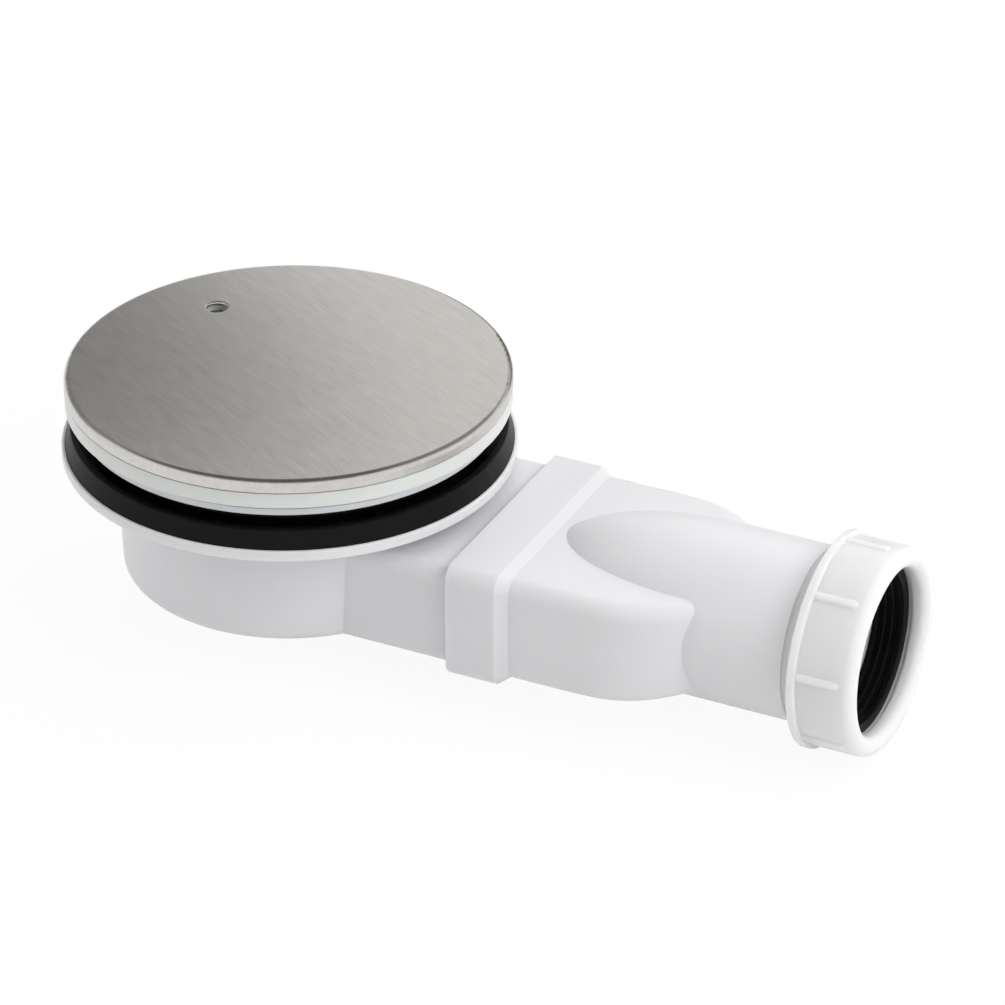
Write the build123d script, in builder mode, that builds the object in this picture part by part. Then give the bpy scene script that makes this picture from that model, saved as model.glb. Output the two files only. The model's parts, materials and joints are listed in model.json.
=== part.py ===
from build123d import *
import os
from math import cos, radians, sin, tan

os.makedirs("parts", exist_ok=True)

# A shower trap for a tray with a 90 mm hole, sizes in millimetres.
# The origin is the middle of the body flange's upper face, x runs to the outlet and z is up.

# Cover cap, pressed from steel sheet
cap_d = 116.0
cap_h = 3.4  # lower edge of the skirt to the rim of the top
cap_edge_r = 1.6
cap_crown = 0.5  # rise of the top from its rim to its middle
cap_sheet = 0.8
lift_hole_d = 5.6
lift_hole_reach = 38.5
lift_hole_angle = 147.0
lift_rim_r = 0.5

# Cover insert, the moulded carrier under the cap
cap_fit = 0.2
band_h = 4.0  # height of the band that shows under the cap
band_inset = 0.1
band_gap = 0.4  # top of the band to the cap's skirt
insert_wall = 2.0
insert_plate = 1.6
lift_hole_margin = 0.6
leg_count = 4
leg_arc = 16.0
leg_t = 2.0
leg_fit = 0.4
web_t = 1.6
web_h = 2.4

# Clamp flange, screwed into the body from above
lip_inset = 2.4  # how far the lip's edge stands back from the cap's
lip_t = 2.0
lip_taper = 0.5  # how far the lip's edge leans in towards its underside
lip_rim_w = 2.4
clamp_height = 8.4  # underside of the lip over the body flange
cover_gap = 1.6  # water slit between the lip and the cover
dish_drop = 0.8
throat_d = 80.8
clamp_skirt_depth = 9.0
ledge_top = 2.0
ledge_t = 3.4
ledge_w = 2.8
clamp_thread_fit = 0.3

# Flange seal, under the clamp flange
flange_seal_t = 1.8
flange_seal_inset = 2.0
flange_seal_fit = 0.3  # round the clamp flange's skirt
seal_play = 0.1

# Tray gasket, on the body flange
gasket_d = 116.8
gasket_bore = 91.0
gasket_h = 5.1
gasket_lean = 1.6  # how far the outer wall leans in towards its top
gasket_lip_t = 2.0
gasket_inner_t = 1.7
gasket_inner_h = 4.0
gasket_floor = 1.6
gasket_edge_r = 0.5
gasket_rib_count = 8
gasket_rib_phase = 8.0
gasket_rib_t = 1.5
gasket_rib_h = 4.3

# Trap body: flange, bowl and flat duct
flange_d = 118.4
flange_t = 2.9
flange_edge_r = 0.4
bowl_d = 90.6  # just under the flange
bowl_draft = 2.2
bowl_depth = 36.0
low_edge_r = 3.0  # lower edges of the bowl, the duct and the box
wall = 2.2
least_r = 0.5  # smallest rounding inside
neck_spare = 2.5  # thread below the skirt, for screwing it further down
duct_w = 62.4
duct_drop = 8.2  # flange face to the duct's top
duct_top_r = 4.0
duct_reach = 74.0

# Dip tube, hung on the clamp flange's ledge
rim_fit = 0.3
rim_t = 2.4
tube_fit = 0.4
tube_wall = 2.2
tube_draft = 1.5
tube_depth = 27.0
ring_section = 2.0
ring_fit = 0.05
ring_land = 0.7
bar_w = 5.0
bar_h = 5.0

# Outlet duct: collar, box, nose and pipe
socket_overlap = 12.3
socket_fit = 0.2
socket_wall = 2.0
stop_gap = 0.2
collar_r = 4.0
shoulder_len = 3.1
box_drop = 7.0  # flange face to the box's top
box_straight = 26.0
rise_back = 15.7  # collar's end to where the box's underside starts to rise
end_rise = 4.1  # rise of that underside at the box's half-round end
weir_back = 4.6
weir_drop = 19.0
pipe_d = 45.7
pipe_wall = 2.4
pipe_drop = 20.1  # flange face to the pipe's axis
nose_len = 50.0
nose_past = 20.2
pipe_run = 27.9
relief_w = 2.4  # groove between the pipe's shoulder and its thread
relief_deep = 0.8
outlet_thread_d = 46.9
outlet_thread_len = 11.2
thread_chamfer = 0.3

# Outlet seal, a rubber sleeve with inner rings for a 40 mm waste pipe
waste_d = 40.0
waste_fit = 0.15
seal_depth = 6.5
seal_fit = 0.1
seal_wall = 1.35
seal_flange_t = 2.2
seal_flange_fit = 0.3
seal_lead = 0.4
groove_count = 3
groove_w = 1.4
groove_deep = 0.7
ring_chamfer = 0.2

# Slip washer and outlet nut
washer_t = 1.0
washer_w = 1.2
nut_thread_fit = 0.3
nut_play = 0.1
nut_len = 17.5
nut_d = 54.4
nut_front_r = 2.7
nut_lip = 4.3
nut_mouth_d = 43.6
nut_mouth_r = 2.5
nut_rim_d = 56.6
nut_rim_w = 2.3
nut_rim_r = 0.5
nut_rib_count = 8
nut_rib_phase = 36.4
nut_rib_w = 2.4
nut_rib_len = 11.6
nut_rib_proud = 0.85

# Heights worked out from the sizes above
lip_top = clamp_height + lip_t
cover_low = lip_top + cover_gap
band_top = cover_low + band_h
cap_low = band_top + band_gap
cap_top = cap_low + cap_h
plate_top = cap_top - cap_sheet
crown_half = cap_crown * 3 / 4  # rise of the crown half way out
rim_top = ledge_top + rim_t
box_high = -box_drop
box_low = -bowl_depth
duct_high = -duct_drop
weir_top = -weir_drop

# Radii about the bowl's axis
cap_r = cap_d / 2
lip_r = cap_r - lip_inset
insert_r = cap_r - cap_sheet - cap_fit
insert_inner_r = insert_r - insert_wall
throat_r = throat_d / 2
ledge_r = throat_r - ledge_w
neck_r = bowl_d / 2 - wall
neck_depth = clamp_skirt_depth + neck_spare
clamp_skirt_r = neck_r - clamp_thread_fit
tube_r = ledge_r - tube_fit
groove_r = ledge_r - ring_section - 2 * ring_fit
tube_bore_r = tube_r - tube_wall - tube_fit

# Places along the outlet
socket_start = duct_reach - socket_overlap
socket_stop = duct_reach + stop_gap
collar_end = socket_stop + wall / 2
box_end = collar_end + box_straight
box_far = box_end + duct_w / 2
rise_start = collar_end + rise_back
nose_end = box_end + nose_past
relief_start = nose_end + pipe_run
thread_start = relief_start + relief_w
pipe_end = thread_start + outlet_thread_len
seal_start = pipe_end - seal_depth
seal_front = pipe_end + seal_flange_t
washer_start = seal_front + nut_play
nut_shoulder = washer_start + washer_t + nut_play
nut_front = nut_shoulder + nut_lip
nut_rear = nut_front - nut_len

# Radii about the outlet's axis
pipe_r = pipe_d / 2
bore_r = pipe_r - pipe_wall
relief_r = pipe_r - relief_deep
outlet_thread_r = outlet_thread_d / 2
waste_r = waste_d / 2 + waste_fit
seal_r = waste_r + seal_wall
nut_bore_r = outlet_thread_r + nut_thread_fit
nut_mouth_radius = nut_mouth_d / 2

outlet_axis = Axis((0, 0, -pipe_drop), (1, 0, 0))
outlet_plane = Plane(origin=(0, 0, -pipe_drop), x_dir=(1, 0, 0), z_dir=(0, -1, 0))


# A vertical plane through the bowl's axis, turned about it
def upright(angle):
    return Plane.XZ.rotated((0, 0, angle))


# A rectangle across the outlet with rounded corners, at distance x
def across(x, half_w, low, high, low_r, high_r):
    with BuildSketch(Plane.YZ.offset(x)) as section:
        with Locations((0, (low + high) / 2)):
            Rectangle(2 * half_w, high - low)
        if low_r:
            fillet(section.vertices().group_by(Axis.Y)[0], low_r)
        fillet(section.vertices().group_by(Axis.Y)[-1], high_r)
    return section.sketch


# The flat box from x to its half-round end, drawn in by inset
# Its side view, with an underside that curves up towards the end, is cut to the plan
def box_form(x, inset):
    half_w = duct_w / 2 - inset
    low = box_low + inset
    high = box_high - inset
    with BuildPart() as form:
        with BuildSketch(Plane.XZ):
            with BuildLine():
                level = Line((x, low), (rise_start, low))
                rise = TangentArc(level @ 1, (box_far, low + end_rise), tangent=level % 1)
                Polyline(rise @ 1, (box_far, high), (x, high), level @ 0)
            make_face()
        extrude(amount=half_w, both=True)
        with BuildSketch(Plane.XY.offset(low)):
            with Locations(((x + box_end) / 2, 0)):
                Rectangle(box_end - x, 2 * half_w)
            with Locations((box_end, 0)):
                Circle(half_w)
        extrude(amount=high - low, mode=Mode.INTERSECT)
    return form.part


# Cover cap: a crowned disc with a rounded rim and a short skirt
with BuildPart() as cover_cap:
    flat_r = cap_r - cap_edge_r
    inner_r = cap_r - cap_sheet
    with BuildSketch(Plane.XZ) as cap_profile:
        with BuildLine():
            outside = RadiusArc((cap_r, cap_top - cap_edge_r), (flat_r, cap_top), -cap_edge_r)
            crown = ThreePointArc(
                outside @ 1, (flat_r / 2, cap_top + crown_half), (0, cap_top + cap_crown)
            )
            middle = Line(crown @ 1, (0, plate_top + cap_crown))
            under = ThreePointArc(
                middle @ 1, (flat_r / 2, plate_top + crown_half), (flat_r, plate_top)
            )
            inside = RadiusArc(under @ 1, (inner_r, cap_top - cap_edge_r), cap_edge_r - cap_sheet)
            Polyline(inside @ 1, (inner_r, cap_low), (cap_r, cap_low), outside @ 0)
        make_face()
    revolve(axis=Axis.Z)
    lift_x = lift_hole_reach * cos(radians(lift_hole_angle))
    lift_y = lift_hole_reach * sin(radians(lift_hole_angle))
    with BuildSketch(Plane.XY.offset(cap_low)):
        with Locations((lift_x, lift_y)):
            Circle(lift_hole_d / 2)
    extrude(amount=cap_h + cap_crown, mode=Mode.SUBTRACT)
    hole_face = cover_cap.faces().filter_by(GeomType.CYLINDER).sort_by(SortBy.AREA)[0]
    fillet(hole_face.edges().filter_by(lambda e: e.length > lift_hole_d).sort_by(Axis.Z)[-1], lift_rim_r)
cover_cap.part.label = "cover_cap"
export_step(cover_cap.part, "parts/cover_cap.step")

# Cover insert: plate and rim inside the cap, the band below it, webs and legs
with BuildPart() as cover_insert:
    band_r = cap_r - band_inset
    insert_top = plate_top - cap_fit
    plate_low = insert_top - insert_plate
    corner_r = cap_edge_r - cap_sheet
    with BuildSketch(Plane.XZ) as insert_profile:
        with BuildLine():
            rim = Polyline(
                (insert_inner_r, plate_low),
                (insert_inner_r, cover_low),
                (band_r, cover_low),
                (band_r, band_top),
                (insert_r, band_top),
                (insert_r, insert_top - corner_r),
            )
            corner = RadiusArc(rim @ 1, (insert_r - corner_r, insert_top), -corner_r)
            top = ThreePointArc(
                corner @ 1,
                ((insert_r - corner_r) / 2, insert_top + crown_half),
                (0, insert_top + cap_crown),
            )
            Polyline(top @ 1, (0, plate_low), rim @ 0)
        make_face()
    revolve(axis=Axis.Z)
    leg_r = throat_r - leg_fit
    leg_low = rim_top
    for leg in range(leg_count):
        turn = leg * 360 / leg_count
        with BuildSketch(upright(turn - leg_arc / 2)):
            with Locations((leg_r - leg_t / 2, (leg_low + plate_low) / 2)):
                Rectangle(leg_t, plate_low - leg_low)
        revolve(axis=Axis.Z, revolution_arc=leg_arc)
        with BuildSketch(upright(turn)):
            with Locations((insert_inner_r / 2, plate_low - web_h / 2)):
                Rectangle(insert_inner_r, web_h)
        extrude(amount=web_t / 2, both=True)
    with BuildSketch(Plane.XY.offset(cover_low)):
        with Locations((lift_x, lift_y)):
            Circle(lift_hole_d / 2 + lift_hole_margin)
    extrude(amount=cap_top + cap_crown - cover_low, mode=Mode.SUBTRACT)
cover_insert.part.label = "cover_insert"
export_step(cover_insert.part, "parts/cover_insert.step")

# Clamp flange: dished lip, screwed skirt and the ledge that carries the dip tube
with BuildPart() as clamp_flange:
    with BuildSketch(Plane.XZ):
        with BuildLine():
            Polyline(
                (lip_r, lip_top),
                (lip_r - lip_rim_w, lip_top),
                (throat_r, lip_top - dish_drop),
                (throat_r, ledge_top),
                (ledge_r, ledge_top),
                (ledge_r, ledge_top - ledge_t),
                (throat_r, ledge_top - ledge_t),
                (throat_r, -clamp_skirt_depth),
                (clamp_skirt_r, -clamp_skirt_depth),
                (clamp_skirt_r, clamp_height),
                (lip_r - lip_taper, clamp_height),
                close=True,
            )
        make_face()
    revolve(axis=Axis.Z)
clamp_flange.part.label = "clamp_flange"
export_step(clamp_flange.part, "parts/clamp_flange.step")

# Flange seal: a flat ring under the lip
with BuildPart() as flange_seal:
    seal_outer_r = lip_r - lip_taper - flange_seal_inset
    with BuildSketch(Plane.XY.offset(clamp_height - seal_play - flange_seal_t)):
        Circle(seal_outer_r)
        Circle(clamp_skirt_r + flange_seal_fit, mode=Mode.SUBTRACT)
    extrude(amount=flange_seal_t)
flange_seal.part.label = "flange_seal"
export_step(flange_seal.part, "parts/flange_seal.step")

# Tray gasket: a channel ring with radial ribs
with BuildPart() as tray_gasket:
    gasket_r = gasket_d / 2
    gasket_bore_r = gasket_bore / 2
    gasket_top_r = gasket_r - gasket_lean
    lip_inner_r = gasket_top_r - gasket_lip_t
    channel_r = gasket_bore_r + gasket_inner_t
    with BuildSketch(Plane.XZ) as gasket_profile:
        with BuildLine():
            Polyline(
                (gasket_bore_r, 0),
                (gasket_r, 0),
                (gasket_top_r, gasket_h),
                (lip_inner_r, gasket_h),
                (lip_inner_r, gasket_floor),
                (channel_r, gasket_floor),
                (channel_r, gasket_inner_h),
                (gasket_bore_r, gasket_inner_h),
                close=True,
            )
        make_face()
        fillet(gasket_profile.vertices().group_by(Axis.Y)[-1], gasket_edge_r)
    revolve(axis=Axis.Z)
    for rib in range(gasket_rib_count):
        with BuildSketch(upright(gasket_rib_phase + rib * 360 / gasket_rib_count)):
            with Locations(((channel_r + lip_inner_r) / 2, (gasket_floor + gasket_rib_h) / 2)):
                Rectangle(lip_inner_r - channel_r, gasket_rib_h - gasket_floor)
        extrude(amount=gasket_rib_t / 2, both=True)
tray_gasket.part.label = "tray_gasket"
export_step(tray_gasket.part, "parts/tray_gasket.step")

# Trap body: flange and drafted bowl, with a flat duct towards the outlet
with BuildPart() as trap_body:
    bowl_r = bowl_d / 2
    lean = tan(radians(bowl_draft))
    bowl_low_r = bowl_r - (bowl_depth - flange_t) * lean
    floor = wall - bowl_depth
    with BuildSketch(Plane.XZ) as bowl_outside:
        with BuildLine():
            Polyline(
                (0, 0),
                (flange_d / 2, 0),
                (flange_d / 2, -flange_t),
                (bowl_r, -flange_t),
                (bowl_low_r, -bowl_depth),
                (0, -bowl_depth),
                close=True,
            )
        make_face()
        fillet(bowl_outside.vertices().group_by(Axis.X)[-1], flange_edge_r)
    revolve(axis=Axis.Z)
    extrude(across(0, duct_w / 2, box_low, duct_high, 0, duct_top_r), amount=duct_reach)
    under_edges = trap_body.edges().group_by(Axis.Z)[0].sort_by(Axis.X)[:-1]
    fillet(under_edges, low_edge_r)
    inner_top_r = max(duct_top_r - wall, least_r)
    channel = across(0, duct_w / 2 - wall, floor, duct_high - wall, 0, inner_top_r)
    extrude(channel, amount=duct_reach, mode=Mode.SUBTRACT)
    with BuildSketch(Plane.XZ):
        with BuildLine():
            Polyline(
                (0, 0),
                (neck_r, 0),
                (neck_r, -neck_depth),
                (bowl_low_r - wall, floor),
                (0, floor),
                close=True,
            )
        make_face()
    revolve(axis=Axis.Z, mode=Mode.SUBTRACT)
trap_body.part.label = "trap_body"
export_step(trap_body.part, "parts/trap_body.step")

# Dip tube: rim, ring groove, drafted tube and a lifting bar
with BuildPart() as dip_tube:
    ring_mid = ledge_top - ledge_t / 2
    groove_half = ring_section / 2 + ring_fit
    land_low = ring_mid - groove_half - ring_land
    stem_r = tube_r - tube_fit
    draw = (tube_depth + land_low) * tan(radians(tube_draft))
    with BuildSketch(Plane.XZ) as tube_profile:
        with BuildLine():
            Polyline(
                (tube_bore_r, rim_top),
                (throat_r - rim_fit, rim_top),
                (throat_r - rim_fit, ledge_top),
                (tube_r, ledge_top),
                (tube_r, ring_mid + groove_half),
                (groove_r, ring_mid + groove_half),
                (groove_r, ring_mid - groove_half),
                (tube_r, ring_mid - groove_half),
                (tube_r, land_low),
                (stem_r, land_low),
                (stem_r - draw, -tube_depth),
                (tube_bore_r - draw, -tube_depth),
                (tube_bore_r, land_low),
                close=True,
            )
        make_face()
    revolve(axis=Axis.Z)
    with BuildSketch(Plane.XZ):
        with Locations((0, rim_top - bar_h / 2)):
            Rectangle(2 * tube_bore_r + tube_fit, bar_h)
    extrude(amount=bar_w / 2, both=True)
dip_tube.part.label = "dip_tube"
export_step(dip_tube.part, "parts/dip_tube.step")

# O-ring of the dip tube
with BuildPart() as dip_tube_ring:
    with BuildSketch(Plane.XZ):
        with Locations((groove_r + ring_fit + ring_section / 2, ring_mid)):
            Circle(ring_section / 2)
    revolve(axis=Axis.Z)
dip_tube_ring.part.label = "dip_tube_ring"
export_step(dip_tube_ring.part, "parts/dip_tube_ring.step")

# Outlet duct: a collar over the body's duct, a flat box, and a pipe that grows out of it
with BuildPart() as outlet_duct:
    proud = socket_fit + socket_wall
    collar_half_w = duct_w / 2 + proud
    collar_low = box_low - proud
    collar_high = duct_high + proud
    add(box_form((socket_start + collar_end) / 2, 0))
    fillet(outlet_duct.edges().group_by(Axis.Z)[-1], duct_top_r)
    low_edges = outlet_duct.edges().filter_by(lambda e: e.bounding_box().max.Z < -pipe_drop)
    fillet(low_edges.filter_by(Axis.Y, reverse=True), low_edge_r)
    collar = across(socket_start, collar_half_w, collar_low, collar_high, collar_r, collar_r)
    extrude(collar, amount=collar_end - socket_start)
    shoulder = [
        across(collar_end, collar_half_w, collar_low, collar_high, collar_r, collar_r),
        across(collar_end + shoulder_len, duct_w / 2, box_low, box_high, low_edge_r, duct_top_r),
    ]
    loft(shoulder, ruled=True)
    # The nose is half an ellipsoid that runs into the pipe
    with BuildSketch(outlet_plane):
        with BuildLine():
            EllipticalCenterArc((nose_end, 0), nose_len, pipe_r, 90, arc_size=90)
            Polyline(
                (nose_end, pipe_r),
                (relief_start, pipe_r),
                (relief_start, relief_r),
                (thread_start, relief_r),
                (thread_start + thread_chamfer, outlet_thread_r),
                (pipe_end - thread_chamfer, outlet_thread_r),
                (pipe_end, outlet_thread_r - thread_chamfer),
                (pipe_end, 0),
                (nose_end - nose_len, 0),
            )
        make_face()
    revolve(axis=outlet_axis)
    # Hollow inside: socket, box and bore, with the weir left standing
    pocket = across(
        socket_start,
        duct_w / 2 + socket_fit,
        box_low - socket_fit,
        duct_high + socket_fit,
        low_edge_r,
        duct_top_r,
    )
    extrude(pocket, amount=socket_stop - socket_start, mode=Mode.SUBTRACT)
    add(box_form(socket_stop, wall), mode=Mode.SUBTRACT)
    with BuildSketch(outlet_plane):
        with BuildLine():
            EllipticalCenterArc((nose_end, 0), nose_len - wall, bore_r, 90, arc_size=90)
            Polyline(
                (nose_end, bore_r),
                (seal_start, bore_r),
                (seal_start, seal_r + seal_fit),
                (pipe_end, seal_r + seal_fit),
                (pipe_end, 0),
                (nose_end - nose_len + wall, 0),
            )
        make_face()
    revolve(axis=outlet_axis, mode=Mode.SUBTRACT)
    with BuildSketch(Plane.YZ.offset(collar_end + weir_back)):
        with Locations((0, (box_low + wall / 2 + weir_top) / 2)):
            Rectangle(duct_w - wall, weir_top - box_low - wall / 2)
    extrude(amount=wall)
outlet_duct.part.label = "outlet_duct"
export_step(outlet_duct.part, "parts/outlet_duct.step")

# Outlet seal: a sleeve in the pipe's mouth, with a flange that the nut presses
with BuildPart() as outlet_seal:
    seal_flange_r = nut_bore_r - seal_flange_fit
    ringed = seal_depth + seal_flange_t - seal_lead
    pitch = ringed / (groove_count + 1)
    with BuildSketch(outlet_plane) as seal_profile:
        with BuildLine():
            Polyline(
                (seal_start, waste_r),
                (seal_start, seal_r),
                (pipe_end, seal_r),
                (pipe_end, seal_flange_r),
                (seal_front, seal_flange_r),
                (seal_front, waste_r + seal_lead),
                (seal_front - seal_lead, waste_r),
                close=True,
            )
        make_face()
        for groove in range(groove_count):
            with Locations((seal_start + (groove + 1) * pitch, waste_r + groove_deep / 2)):
                Rectangle(groove_w, groove_deep, mode=Mode.SUBTRACT)
        ring_corners = seal_profile.vertices().group_by(Axis.Y)[0].sort_by(Axis.X)[:-1]
        chamfer(ring_corners, ring_chamfer)
    revolve(axis=outlet_axis)
outlet_seal.part.label = "outlet_seal"
export_step(outlet_seal.part, "parts/outlet_seal.step")

# Slip washer, between the nut's lip and the seal
with BuildPart() as slip_washer:
    washer_r = nut_bore_r - seal_flange_fit
    with BuildSketch(outlet_plane):
        with Locations((washer_start + washer_t / 2, washer_r - washer_w / 2)):
            Rectangle(washer_t, washer_w)
    revolve(axis=outlet_axis)
slip_washer.part.label = "slip_washer"
export_step(slip_washer.part, "parts/slip_washer.step")

# Outlet nut: rim, ribs, a rounded front and a lip round the mouth
with BuildPart() as outlet_nut:
    nut_r = nut_d / 2
    nut_rim_radius = nut_rim_d / 2
    with BuildSketch(outlet_plane) as nut_profile:
        with BuildLine():
            Polyline(
                (nut_rear, nut_bore_r),
                (nut_rear, nut_rim_radius),
                (nut_rear + nut_rim_w, nut_rim_radius),
                (nut_rear + nut_rim_w, nut_r),
                (nut_front, nut_r),
                (nut_front, nut_mouth_radius),
                (nut_shoulder, nut_mouth_radius),
                (nut_shoulder, nut_bore_r),
                close=True,
            )
        make_face()
        fillet(nut_profile.vertices().group_by(Axis.Y)[-1], nut_rim_r)
        fillet(nut_profile.vertices().group_by(Axis.X)[-1].sort_by(Axis.Y)[-1], nut_front_r)
        fillet(nut_profile.vertices().group_by(Axis.X)[-1].sort_by(Axis.Y)[0], nut_mouth_r)
    revolve(axis=outlet_axis)
    # Each rib is a round rod sunk in the wall, with one end in the rim and a domed front end
    rib_r = nut_rib_w / 2
    rib_path_r = nut_r + nut_rib_proud - rib_r
    rib_start = nut_rear + nut_rim_w / 2
    rib_end = nut_rear + nut_rim_w + nut_rib_len - rib_r
    for rib in range(nut_rib_count):
        turn = radians(nut_rib_phase + rib * 360 / nut_rib_count)
        rib_y = -rib_path_r * sin(turn)
        rib_z = rib_path_r * cos(turn) - pipe_drop
        with BuildSketch(Plane.YZ.offset(rib_start)):
            with Locations((rib_y, rib_z)):
                Circle(rib_r)
        extrude(amount=rib_end - rib_start)
        with Locations((rib_end, rib_y, rib_z)):
            Sphere(rib_r)
outlet_nut.part.label = "outlet_nut"
export_step(outlet_nut.part, "parts/outlet_nut.step")
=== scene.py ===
import json
from math import cos, radians, sin

import bpy
import numpy as np
from mathutils import Matrix, Vector


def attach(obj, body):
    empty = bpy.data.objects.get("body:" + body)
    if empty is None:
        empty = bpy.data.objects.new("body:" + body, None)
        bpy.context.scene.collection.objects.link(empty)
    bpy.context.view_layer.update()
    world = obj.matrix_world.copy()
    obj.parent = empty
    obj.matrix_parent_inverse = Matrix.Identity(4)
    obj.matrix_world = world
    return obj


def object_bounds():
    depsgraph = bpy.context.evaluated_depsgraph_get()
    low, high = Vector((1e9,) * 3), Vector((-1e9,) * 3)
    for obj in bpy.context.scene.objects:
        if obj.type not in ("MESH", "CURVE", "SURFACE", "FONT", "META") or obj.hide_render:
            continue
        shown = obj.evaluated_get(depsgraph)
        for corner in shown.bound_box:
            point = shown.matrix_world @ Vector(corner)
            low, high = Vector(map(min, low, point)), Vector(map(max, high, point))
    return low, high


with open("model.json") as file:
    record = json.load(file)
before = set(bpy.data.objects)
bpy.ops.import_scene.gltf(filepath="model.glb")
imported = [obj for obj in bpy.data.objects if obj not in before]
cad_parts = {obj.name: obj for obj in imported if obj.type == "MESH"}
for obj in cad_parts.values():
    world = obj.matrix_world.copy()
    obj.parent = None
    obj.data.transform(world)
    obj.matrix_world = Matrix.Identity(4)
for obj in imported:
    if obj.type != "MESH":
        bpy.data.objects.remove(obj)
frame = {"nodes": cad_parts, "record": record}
cadLow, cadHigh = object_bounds()
nodes = frame["nodes"]
print("frame loaded,", len(nodes), "nodes")

mm = 0.001  # metres in a millimetre


# a socket that takes part in Python arithmetic; each operator adds one Math node
class Wire:
    def __init__(self, tree, socket=None):
        self.tree = tree
        self.socket = socket

    # any node: its type, its settings first, then its sockets' values or wires
    def node(self, kind, settings=None, values=None, out=0):
        made = self.tree.nodes.new(kind)
        for name, value in (settings or {}).items():
            setattr(made, name, value)
        for name, value in (values or {}).items():
            if isinstance(value, Wire):
                self.tree.links.new(value.socket, made.inputs[name])
            else:
                made.inputs[name].default_value = value
        return Wire(self.tree, made.outputs[out])

    def maths(self, operation, first, second):
        return self.node("ShaderNodeMath", {"operation": operation}, {0: first, 1: second})

    def __add__(self, other):
        return self.maths("ADD", self, other)

    def __radd__(self, other):
        return self.maths("ADD", other, self)

    def __sub__(self, other):
        return self.maths("SUBTRACT", self, other)

    def __rsub__(self, other):
        return self.maths("SUBTRACT", other, self)

    def __mul__(self, other):
        return self.maths("MULTIPLY", self, other)

    def __rmul__(self, other):
        return self.maths("MULTIPLY", other, self)


# an empty material with its output; returns the material, a wire to add nodes with, and the output
def newMaterial(name):
    material = bpy.data.materials.new(name)
    material.use_nodes = True
    tree = material.node_tree
    tree.nodes.clear()
    output = tree.nodes.new("ShaderNodeOutputMaterial")
    return material, Wire(tree), output


def connect(wire, socket):
    wire.tree.links.new(wire.socket, socket)


noiseMiddle = 0.5  # a noise swings about this value


# noise on Object coordinates, stretched per axis: cells per metre along x, y and z
def grain(add, cells, detail, rough=0.5, turn=0.0):
    place = add.node("ShaderNodeTexCoord", out="Object")
    stretched = add.node(
        "ShaderNodeMapping",
        {"vector_type": "TEXTURE"},
        {"Vector": place, "Rotation": (0, 0, turn), "Scale": tuple(1.0 / c for c in cells)},
    )
    return add.node(
        "ShaderNodeTexNoise",
        {"noise_dimensions": "3D"},
        {"Vector": stretched, "Scale": 1.0, "Detail": detail, "Roughness": rough},
    )


# sockets 6 and 7 of a colour mix are its two colours, and output 2 is the mixed one
def mixColour(add, factor, dark, light):
    return add.node(
        "ShaderNodeMix",
        {"data_type": "RGBA"},
        {"Factor": factor, 6: (*dark, 1.0), 7: (*light, 1.0)},
        out=2,
    )


def bumpFrom(add, height, look):
    return add.node(
        "ShaderNodeBump", {}, {"Strength": look["bump"], "Distance": look["depth"], "Height": height}
    )


# what the mouldings share: cloud and speck in cells per metre, depths in metres
mouldedLook = {
    "cloud": 60, "cloudDetail": 4.0, "speck": 2500, "speckDetail": 2.0,
    "rough": 0.38, "roughSpread": 0.10, "bump": 0.10, "depth": 0.00004,
    "shine": 0.5, "ior": 1.49,
    "scatter": 0.5, "scatterDepth": 0.003, "scatterReach": (1.0, 0.95, 0.9),
}

# what sets each moulding's slot apart
mouldedSlots = {
    "body_plastic": {
        "dark": (0.715, 0.715, 0.730), "light": (0.745, 0.745, 0.760),
        "rough": 0.42, "bump": 0.12,
    },
    "flange_plastic": {"dark": (0.70, 0.715, 0.73), "light": (0.74, 0.755, 0.77)},
    "carrier_plastic": {"dark": (0.67, 0.69, 0.67), "light": (0.71, 0.73, 0.705)},
    "tube_plastic": {"dark": (0.68, 0.69, 0.70), "light": (0.73, 0.74, 0.75), "rough": 0.42},
    "washer_plastic": {
        "dark": (0.55, 0.56, 0.57), "light": (0.60, 0.61, 0.62), "cloud": 90,
        "rough": 0.35, "roughSpread": 0.08, "bump": 0.08, "depth": 0.00003,
    },
    "nut_plastic": {
        "dark": (0.735, 0.735, 0.73), "light": (0.765, 0.765, 0.76), "cloud": 70,
        "rough": 0.36, "scatter": 0.9, "scatterDepth": 0.006,
    },
    "black_rubber": {
        "dark": (0.003, 0.003, 0.0032), "light": (0.006, 0.006, 0.0062), "cloud": 120, "speck": 3500,
        "rough": 0.40, "roughSpread": 0.14, "bump": 0.20, "depth": 0.00005, "shine": 0.11,
        "scatter": 0.0, "scatterDepth": 0.001,
    },
}


# satin plastic or rubber: faint cloud in the colour, fine grain in gloss and bump
def moulded(name, look):
    material, add, output = newMaterial(name)
    cloud = grain(add, (look["cloud"],) * 3, look["cloudDetail"])
    speck = grain(add, (look["speck"],) * 3, look["speckDetail"])
    tone = mixColour(add, cloud, look["dark"], look["light"])
    gloss = look["rough"] + (speck - noiseMiddle) * look["roughSpread"]
    bump = bumpFrom(add, speck, look)
    shader = add.node(
        "ShaderNodeBsdfPrincipled",
        {},
        {
            "Base Color": tone, "Roughness": gloss, "Normal": bump,
            "IOR": look["ior"], "Specular IOR Level": look["shine"],
            "Subsurface Weight": look["scatter"], "Subsurface Scale": look["scatterDepth"],
            "Subsurface Radius": look["scatterReach"],
        },
    )
    connect(shader, output.inputs["Surface"])
    return material


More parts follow.
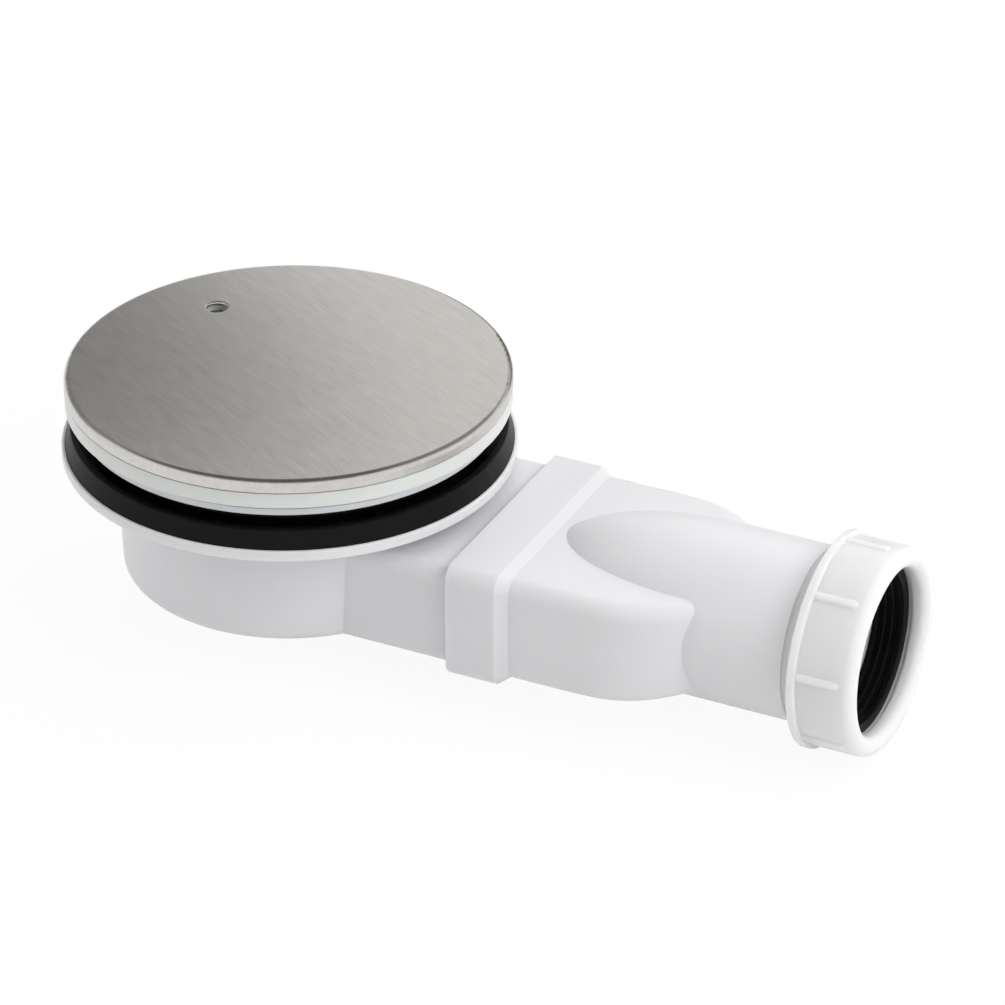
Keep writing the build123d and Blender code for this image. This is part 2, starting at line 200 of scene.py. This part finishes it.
# the cover's sheet: along and across the brushing in cells per metre, turn in degrees
steelLook = {
    "dark": (0.37, 0.36, 0.341), "light": (0.90, 0.87, 0.83), "turn": -28.0,
    "along": 110, "across": 3600, "detail": 5.0, "fine": 0.65,
    "wideAcross": 400, "wideDetail": 3.0, "wideFine": 0.5, "wideShare": 0.25,
    "rough": 0.30, "roughSpread": 0.14, "bump": 0.35, "depth": 0.00003,
}


# brushed sheet: noise drawn out along the brush direction drives colour, gloss and bump
def brushedSteel(name, look):
    material, add, output = newMaterial(name)
    turn = radians(look["turn"])
    thin = (look["along"], look["across"], look["across"])
    broad = (look["along"], look["wideAcross"], look["wideAcross"])
    streak = grain(add, thin, look["detail"], look["fine"], turn)
    wide = grain(add, broad, look["wideDetail"], look["wideFine"], turn)
    mark = streak * (1 - look["wideShare"]) + wide * look["wideShare"]
    tone = mixColour(add, mark, look["dark"], look["light"])
    gloss = look["rough"] + (mark - noiseMiddle) * look["roughSpread"]
    bump = bumpFrom(add, streak, look)
    shader = add.node(
        "ShaderNodeBsdfPrincipled",
        {},
        {"Base Color": tone, "Metallic": 1.0, "Roughness": gloss, "Normal": bump},
    )
    connect(shader, output.inputs["Surface"])
    return material


materials = {slot: moulded(slot, {**mouldedLook, **look}) for slot, look in mouldedSlots.items()}
materials["brushed_steel"] = brushedSteel("brushed_steel", steelLook)

for part in frame["record"]["subparts"]:
    mesh = nodes[part["node"]].data
    mesh.materials.clear()
    mesh.materials.append(materials[part["material_slot"]])
    mesh.polygons.foreach_set("material_index", np.zeros(len(mesh.polygons), dtype=np.int32))
print("materials set on", len(nodes), "nodes")


# a mesh object at the origin, with its place in its points
def newPiece(name, points, faces, material):
    mesh = bpy.data.meshes.new(name)
    mesh.from_pydata(points.tolist(), [], faces.tolist())
    mesh.materials.append(material)
    piece = bpy.data.objects.new(name, mesh)
    bpy.context.scene.collection.objects.link(piece)
    return piece


# screw ridges left out of the CAD, in millimetres: start and end are along the axis w, foot and
# crest half-widths of the ridge, sunk its depth under the surface, fade the turns its ends rise in,
# steps the points in a turn
threads = {
    "outlet_thread": {
        "body": "trap", "slot": "body_plastic", "centre": (0, 0, -20.1),
        "u": (0, 1, 0), "v": (0, 0, 1), "w": (1, 0, 0),
        "radius": 23.45, "start": 152.9, "end": 162.1, "pitch": 2.31, "height": 0.27,
        "sunk": 0.15, "foot": 0.75, "crest": 0.25, "fade": 0.3, "steps": 120,
    },
    "clamp_thread": {
        "body": "clamp", "slot": "flange_plastic", "centre": (0, 0, 0),
        "u": (1, 0, 0), "v": (0, 1, 0), "w": (0, 0, 1),
        "radius": 42.8, "start": -7.9, "end": -1.1, "pitch": 3.0, "height": 0.26,
        "sunk": 0.15, "foot": 0.9, "crest": 0.35, "fade": 0.25, "steps": 160,
    },
}


# four corners carried along a right-hand helix: at angle a the point is
# centre + r (u cos a + v sin a) + w (start + pitch a / turn + offset), r rising from sunk to height
def cutThread(name, look):
    turns = (look["end"] - look["start"]) / look["pitch"]
    turn = np.linspace(0.0, turns, round(turns * look["steps"]) + 1)
    rise = np.clip(np.minimum(turn, turns - turn) / look["fade"], 0.0, 1.0)
    rise = rise * rise * (3 - 2 * rise)  # smooth at both ends of the fade
    offset = np.array((-look["foot"], -look["crest"], look["crest"], look["foot"]))
    top = np.array((0.0, 1.0, 1.0, 0.0))
    radius = look["radius"] - look["sunk"] + np.outer(rise, top) * (look["height"] + look["sunk"])
    along = (look["start"] + look["pitch"] * turn)[:, None] + offset
    angle = (2 * np.pi * turn)[:, None] + np.zeros(4)
    u, v, w, centre = (np.array(look[key], float) for key in ("u", "v", "w", "centre"))
    points = (radius * np.cos(angle))[..., None] * u + (radius * np.sin(angle))[..., None] * v
    points = (points + along[..., None] * w + centre).reshape(-1, 3) * mm
    here = np.arange(len(turn) - 1)[:, None] * 4 + np.arange(4)
    beside = np.roll(here, -1, axis=1)
    sides = np.stack([here, here + 4, beside + 4, beside], axis=-1).reshape(-1, 4)
    last = len(points) - 4
    faces = np.vstack([sides, [(0, 1, 2, 3)], [(last + 3, last + 2, last + 1, last)]])
    ridge = newPiece(name, points, faces, materials[look["slot"]])
    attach(ridge, look["body"])


for name, look in threads.items():
    cutThread(name, look)
print("threads cut:", ", ".join(threads))

# the photograph's view, a long lens from the front right, looking down:
# degrees, then millimetres, and clip in metres
cameraView = {
    "azimuth": 26.1, "elevation": 30.32, "target": (53.4, 16.4, -15.0), "distance": 1557.1,
    "lens": 214.93, "sensor": 36.0, "clip": (0.05, 50.0),
}


# the camera stands at target + distance * back, where back is azimuth and elevation as a direction
def placeCamera(look):
    azimuth, elevation = radians(look["azimuth"]), radians(look["elevation"])
    back = Vector((sin(azimuth) * cos(elevation), -cos(azimuth) * cos(elevation), sin(elevation)))
    right = Vector((cos(azimuth), sin(azimuth), 0.0))
    up = back.cross(right)
    data = bpy.data.cameras.new("camera")
    data.lens = look["lens"]
    data.sensor_width = look["sensor"]
    data.sensor_fit = "HORIZONTAL"
    data.clip_start, data.clip_end = look["clip"]
    camera = bpy.data.objects.new("camera", data)
    place = (Vector(look["target"]) + back * look["distance"]) * mm
    camera.matrix_world = Matrix.Translation(place) @ Matrix((right, up, back)).transposed().to_4x4()
    bpy.context.scene.collection.objects.link(camera)
    bpy.context.scene.camera = camera


placeCamera(cameraView)

# soft lamps: place, aim and size in metres, power in watts
lamps = {
    "key": {"at": (1.0, -0.2, 0.75), "aim": (0.06, 0, 0), "size": 0.9, "power": 8.0},
    "fill": {"at": (-1.1, -0.5, 0.6), "aim": (0.03, 0, 0), "size": 0.9, "power": 4.2},
    "top": {"at": (0.3, 0.6, 1.0), "aim": (0.05, 0, 0), "size": 2.0, "power": 11.2},
}


def hangLamp(name, look):
    data = bpy.data.lights.new(name, "AREA")
    data.shape = "DISK"
    data.size = look["size"]
    data.energy = look["power"]
    lamp = bpy.data.objects.new(name, data)
    lamp.location = look["at"]
    aim = Vector(look["aim"]) - Vector(look["at"])
    lamp.rotation_euler = aim.to_track_quat("-Z", "Y").to_euler()
    lamp.visible_glossy = False  # gloss shows the white room, its ceiling and the cards
    bpy.context.scene.collection.objects.link(lamp)


for name, look in lamps.items():
    hangLamp(name, look)
print("camera and lamps set:", ", ".join(lamps))

# the room: light levels from 0 to 1, floor sizes in metres; overhead is the grey of the ceiling
# that gloss sees, which comes in between two heights of the ray
stageLook = {
    "ambient": 0.40, "overhead": 0.12, "overheadFrom": 0.60, "overheadTo": 0.82,
    "floorSize": 8.0, "floorGap": 0.0005, "floorGlow": 0.93, "floorTone": 0.9,
}


# 1 for rays that see the background: from the camera, off gloss or through glass
def seesBackground(add):
    ray = "ShaderNodeLightPath"
    seen = add.node(ray, out="Is Camera Ray") + add.node(ray, out="Is Glossy Ray")
    return add.maths("MINIMUM", seen + add.node(ray, out="Is Transmission Ray"), 1.0)


def whiteWorld(look):
    world = bpy.data.worlds.new("studio")
    bpy.context.scene.world = world
    world.use_nodes = True
    tree = world.node_tree
    tree.nodes.clear()
    add = Wire(tree)
    seen = seesBackground(add)
    towards = add.node("ShaderNodeTexCoord", out="Generated")
    height = add.node("ShaderNodeSeparateXYZ", {}, {"Vector": towards}, out="Z")
    above = add.node(
        "ShaderNodeMapRange",
        {"interpolation_type": "SMOOTHSTEP"},
        {"Value": height, "From Min": look["overheadFrom"], "From Max": look["overheadTo"]},
    )
    ceiling = above * add.node("ShaderNodeLightPath", out="Is Glossy Ray") * (1 - look["overhead"])
    level = seen * (1 - ceiling) + (1 - seen) * look["ambient"]
    sky = add.node("ShaderNodeBackground", {}, {"Color": (1, 1, 1, 1), "Strength": level})
    output = tree.nodes.new("ShaderNodeOutputWorld")
    connect(sky, output.inputs["Surface"])


whiteWorld(stageLook)

# one flat face with sides of 1, for the floor and the cards
squareCorners = np.array([(-0.5, -0.5), (0.5, -0.5), (0.5, 0.5), (-0.5, 0.5)])
squareFace = np.array([(0, 1, 2, 3)])


# a white square just under the lowest point; its glow to the eye leaves a faint shadow
def layFloor(look, lowest):
    material, add, output = newMaterial("floor_white")
    tone = (look["floorTone"],) * 3 + (1.0,)
    diffuse = add.node("ShaderNodeBsdfDiffuse", {}, {"Color": tone})
    glow = add.node("ShaderNodeEmission", {}, {"Color": (1, 1, 1, 1), "Strength": 1.0})
    share = seesBackground(add) * look["floorGlow"]
    mixed = add.node("ShaderNodeMixShader", {}, {0: share, 1: diffuse, 2: glow})
    clear = add.node("ShaderNodeBsdfTransparent")
    under = add.node("ShaderNodeNewGeometry", out="Backfacing")  # see-through from below
    oneSided = add.node("ShaderNodeMixShader", {}, {0: under, 1: mixed, 2: clear})
    connect(oneSided, output.inputs["Surface"])
    heights = np.full(len(squareCorners), lowest - look["floorGap"])
    points = np.column_stack([squareCorners * look["floorSize"], heights])
    floor = newPiece("floor", points, squareFace, material)


layFloor(stageLook, cadLow[2])

# grey studio cards round the cover, seen only in reflections: swing is degrees to the right
# of the line of sight behind the cover, lift degrees above level, sizes in metres,
# slant how far the upright sides lean to the right for each metre of rise
cards = {
    "card_back": {
        "swing": -40.0, "lift": 30.0, "reach": 0.38, "width": 0.46, "height": 0.22,
        "slant": 0.4, "tone": 0.26,
    },
    "card_right": {
        "swing": 28.0, "lift": -2.0, "reach": 0.40, "width": 0.30, "height": 0.26,
        "slant": 0.0, "tone": 0.14,
    },
    "card_side": {
        "swing": 62.0, "lift": 47.0, "reach": 0.40, "width": 0.40, "height": 0.30,
        "slant": 0.0, "tone": 0.28,
    },
}


# a flat four-sided card square to its line from the cover's middle:
# its corners are reach * ahead + across * right + along * rise
def hangCard(name, look, view):
    azimuth, lift = radians(view["azimuth"] - look["swing"]), radians(look["lift"])
    right = np.array((cos(azimuth), sin(azimuth), 0.0))
    ahead = np.array((-sin(azimuth) * cos(lift), cos(azimuth) * cos(lift), sin(lift)))
    rise = np.cross(right, ahead)
    along = squareCorners[:, 1:] * look["height"]
    across = squareCorners[:, :1] * look["width"] + along * look["slant"]
    points = look["reach"] * ahead + across * right + along * rise
    material, add, output = newMaterial(name)
    grey = add.node("ShaderNodeEmission", {}, {"Color": (1, 1, 1, 1), "Strength": look["tone"]})
    connect(grey, output.inputs["Surface"])
    card = newPiece(name, points, squareFace, material)
    card.visible_camera = card.visible_diffuse = card.visible_shadow = False


for name, look in cards.items():
    hangCard(name, look, cameraView)

bpy.context.scene.view_settings.view_transform = "Standard"
print("room, floor and cards set:", ", ".join(cards))
